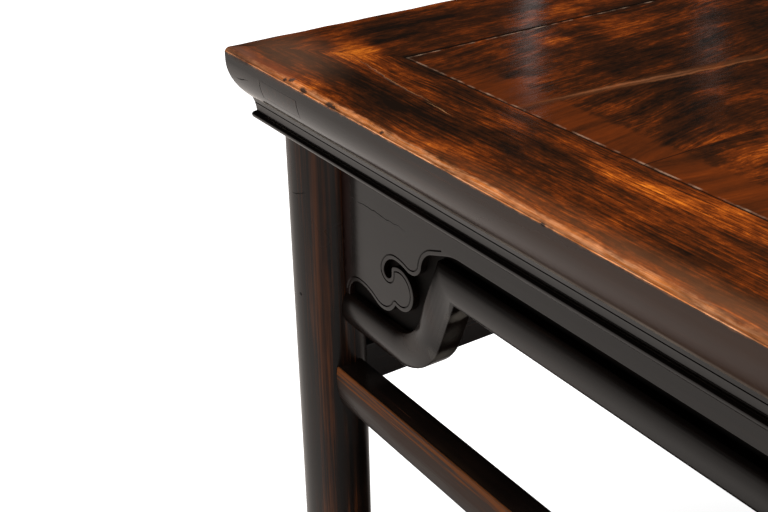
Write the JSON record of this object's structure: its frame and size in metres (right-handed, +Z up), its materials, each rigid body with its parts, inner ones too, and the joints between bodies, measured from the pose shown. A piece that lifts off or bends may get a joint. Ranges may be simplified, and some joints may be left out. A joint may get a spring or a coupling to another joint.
{
  "type": "square table",
  "caption": "Square wooden table with round legs, a mitred framed top with a moulded edge, carved aprons, humped stretchers and straight stretchers below.",
  "frame": {"origin": "on the floor, under the middle of the top", "axes": "+Z up, +X to the right along the front, the front faces -Y"},
  "size_m": [0.96, 0.96, 0.85],
  "materials": {
    "top_wood": "polished, worn",
    "dark_lacquer": "satin lacquer",
    "plain_wood": "bare, aged",
    "pin_bamboo": "bare"
  },
  "bodies": {
    "root": {"top_rail_front": "top_wood", "edge_strip_front": "dark_lacquer", "apron_front": "dark_lacquer", "hump_stretcher_front": "dark_lacquer", "straight_stretcher_front": "dark_lacquer", "top_rail_right": "top_wood", "edge_strip_right": "dark_lacquer", "apron_right": "dark_lacquer", "hump_stretcher_right": "dark_lacquer", "straight_stretcher_right": "dark_lacquer", "top_rail_back": "top_wood", "edge_strip_back": "dark_lacquer", "apron_back": "dark_lacquer", "hump_stretcher_back": "dark_lacquer", "straight_stretcher_back": "dark_lacquer", "top_rail_left": "top_wood", "edge_strip_left": "dark_lacquer", "apron_left": "dark_lacquer", "hump_stretcher_left": "dark_lacquer", "straight_stretcher_left": "dark_lacquer", "leg_front_left": "dark_lacquer", "leg_front_right": "dark_lacquer", "leg_back_left": "dark_lacquer", "leg_back_right": "dark_lacquer", "panel_board_1": "top_wood", "panel_board_2": "top_wood", "panel_board_3": "top_wood", "panel_batten_front": "plain_wood", "panel_batten_back": "plain_wood", "frame_corner_pins": "pin_bamboo", "edge_strip_pins": "pin_bamboo"}
  },
  "joints": []
}
